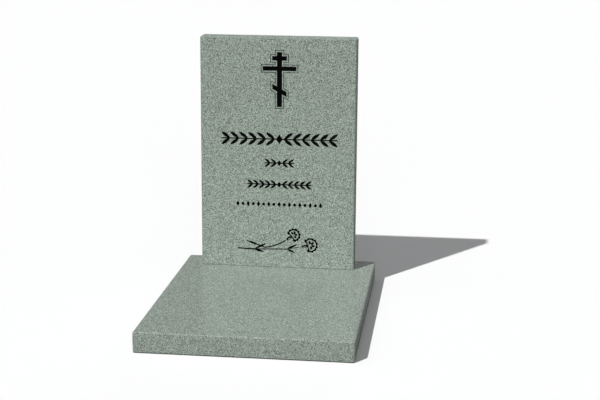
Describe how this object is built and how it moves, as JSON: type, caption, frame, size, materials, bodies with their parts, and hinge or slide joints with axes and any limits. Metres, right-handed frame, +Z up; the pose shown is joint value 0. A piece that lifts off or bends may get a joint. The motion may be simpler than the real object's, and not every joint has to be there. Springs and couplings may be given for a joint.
{
  "type": "grave slab with upright stele",
  "caption": "Polished granite grave monument: a flat slab on the ground and an upright stele near its rear edge, engraved with an orthodox cross, laurel bands, beads and carnations.",
  "frame": {"origin": "middle of the flat slab's underside, on the ground", "axes": "+X to the right of a person who faces the stele, +Y away from that person, +Z up"},
  "size_m": [0.5, 0.66, 0.651],
  "materials": {
    "granite": "polished",
    "black_paint": "matte",
    "stone_adhesive": "matte",
    "dowel_steel": "satin"
  },
  "bodies": {
    "root": {"base_slab": "granite", "stele": "granite", "adhesive_bed": "stone_adhesive", "dowel_left": "dowel_steel", "dowel_right": "dowel_steel", "cross_paint": "black_paint", "cross_border_paint": "black_paint", "laurel_band_1_paint": "black_paint", "laurel_band_2_paint": "black_paint", "laurel_band_3_paint": "black_paint", "bead_row_paint": "black_paint", "carnation_heads_paint": "black_paint", "carnation_stems_paint": "black_paint"}
  },
  "joints": []
}
